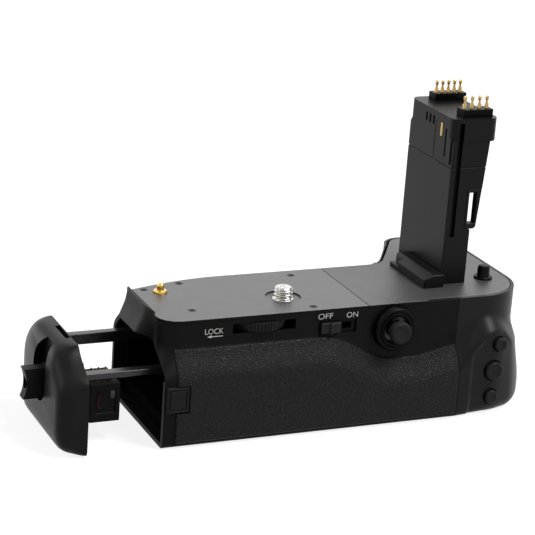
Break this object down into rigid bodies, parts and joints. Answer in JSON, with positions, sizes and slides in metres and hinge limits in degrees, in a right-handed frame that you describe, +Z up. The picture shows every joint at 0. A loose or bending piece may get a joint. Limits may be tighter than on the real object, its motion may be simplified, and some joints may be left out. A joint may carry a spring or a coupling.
{
  "type": "camera battery grip",
  "caption": "Battery grip that screws under a camera: moulded casing with thumbwheel-driven screw, controls, contact stalk and a sliding battery tray with a turn key.",
  "frame": {"origin": "centre of the tripod thread at the base, which is also the axis of the camera screw", "axes": "+X towards the end with the buttons, +Y towards the lens side, +Z up towards the camera"},
  "size_m": [0.1832, 0.0761, 0.1084],
  "materials": {
    "housing": "fine satin moulded",
    "plate": "satin",
    "stalk": "satin",
    "rubber": "leather grain",
    "control": "satin",
    "trim": "satin",
    "tray": "satin",
    "inner": "plain",
    "board": "lacquered",
    "steel": "plain",
    "screw": "bright",
    "brass": "bright",
    "gold": "gold plated"
  },
  "bodies": {
    "casing": {"rear_housing": "housing", "front_housing": "housing", "end_housing": "housing", "left_trim": "housing", "base_plate": "housing", "camera_plate": "plate", "stalk_plate": "plate", "stalk_foot": "plate", "stalk_column": "stalk", "stalk_head": "stalk", "stalk_latch": "stalk", "pin_block_front": "stalk", "pin_block_rear": "stalk", "rear_rubber": "rubber", "grip_rubber": "rubber", "joystick_boss": "control", "black_pin": "control", "joystick_bezel": "trim", "shutter_collar": "trim", "switch_block": "inner", "button_switches": "inner", "shutter_switch": "inner", "dial_bracket": "inner", "chamber_liner": "inner", "board_parts": "inner", "button_board": "board", "main_board": "board", "wheel_axle": "steel", "dial_axle": "steel", "casing_screws": "steel", "plate_screws": "steel", "tripod_socket": "steel", "screw_bush": "brass", "brass_pin": "brass", "chamber_contacts": "gold", "side_contact": "gold"},
    "lock_wheel": {"lock_wheel": "control"},
    "camera_screw": {"camera_screw": "screw", "screw_gear": "steel"},
    "power_switch": {"power_switch": "control"},
    "joystick_gimbal": {"joystick_gimbal": "steel"},
    "joystick_stem": {"joystick_stem": "steel"},
    "joystick_cap": {"joystick_cap": "control"},
    "star_button": {"star_button": "control"},
    "focus_button": {"focus_button": "control"},
    "point_button": {"point_button": "control"},
    "shutter_button": {"shutter_button": "control"},
    "function_button": {"function_button": "control"},
    "main_dial": {"main_dial": "control"},
    "tray": {"tray_cap": "tray", "tray_frame": "tray", "tray_back": "tray", "tray_block": "tray", "tray_contacts": "gold"},
    "turn_key": {"lock_key": "tray", "key_shaft": "steel", "latch_bar": "inner"},
    "pins_front": {"contact_pins_front": "gold"},
    "pins_rear": {"contact_pins_rear": "gold"},
    "port_cover": {"port_cover": "rubber"}
  },
  "joints": [
    {"name": "tray_slide", "type": "slide", "parent": "casing", "child": "tray", "axis": [1, 0, 0], "range_m": [-0.045, 0.0252]},
    {"name": "key_turn", "type": "hinge", "parent": "tray", "child": "turn_key", "pos_m": [-0.0745, 0.002, 0.0189], "axis": [1, 0, 0], "range_deg": [0, 90]},
    {"name": "screw_turn", "type": "hinge", "parent": "casing", "child": "camera_screw", "pos_m": [0, 0, 0.038], "axis": [0, 0, 1], "continuous": true},
    {"name": "wheel_turn", "type": "hinge", "parent": "casing", "child": "lock_wheel", "pos_m": [-0.0129, -0.0057, 0.038], "axis": [0, 0, 1], "continuous": true},
    {"name": "power_slide", "type": "slide", "parent": "casing", "child": "power_switch", "axis": [1, 0, 0], "range_m": [0, 0.0056]},
    {"name": "joystick_tilt_v", "type": "hinge", "parent": "casing", "child": "joystick_gimbal", "pos_m": [0.035, -0.015, 0.0336], "axis": [1, 0, 0], "range_deg": [-8, 8], "stiffness_Nm_per_rad": 0.03},
    {"name": "joystick_tilt_h", "type": "hinge", "parent": "joystick_gimbal", "child": "joystick_stem", "pos_m": [0.035, -0.015, 0.0336], "axis": [0, 0, 1], "range_deg": [-8, 8], "stiffness_Nm_per_rad": 0.03},
    {"name": "joystick_press", "type": "slide", "parent": "joystick_stem", "child": "joystick_cap", "axis": [0, 1, 0], "range_m": [0, 0.0005], "stiffness_N_per_m": 1000},
    {"name": "star_press", "type": "slide", "parent": "casing", "child": "star_button", "axis": [0, 1, 0], "range_m": [0, 0.0006], "stiffness_N_per_m": 1000},
    {"name": "focus_press", "type": "slide", "parent": "casing", "child": "focus_button", "axis": [0, 1, 0], "range_m": [0, 0.0006], "stiffness_N_per_m": 1000},
    {"name": "point_press", "type": "slide", "parent": "casing", "child": "point_button", "axis": [0, 1, 0], "range_m": [0, 0.0006], "stiffness_N_per_m": 1000},
    {"name": "shutter_press", "type": "slide", "parent": "casing", "child": "shutter_button", "axis": [-1, 0, 0], "range_m": [0, 0.0008], "stiffness_N_per_m": 1000},
    {"name": "function_press", "type": "slide", "parent": "casing", "child": "function_button", "axis": [-1, 0, 0], "range_m": [0, 0.0008], "stiffness_N_per_m": 1000},
    {"name": "dial_turn", "type": "hinge", "parent": "casing", "child": "main_dial", "pos_m": [0.0832, 0.016, 0.021], "axis": [0, 1, 0], "continuous": true},
    {"name": "pins_front_press", "type": "slide", "parent": "casing", "child": "pins_front", "axis": [0, 0, -1], "range_m": [0, 0.001], "stiffness_N_per_m": 600},
    {"name": "pins_rear_press", "type": "slide", "parent": "casing", "child": "pins_rear", "axis": [0, 0, -1], "range_m": [0, 0.001], "stiffness_N_per_m": 600},
    {"name": "cover_swing", "type": "hinge", "parent": "casing", "child": "port_cover", "pos_m": [-0.0408, -0.0206, 0.0171], "axis": [0, 0, 1], "range_deg": [0, 80], "stiffness_Nm_per_rad": 0.002}
  ],
  "couplings": [
    {"joint": "wheel_turn", "follows": "screw_turn", "ratio": -1.2222}
  ]
}
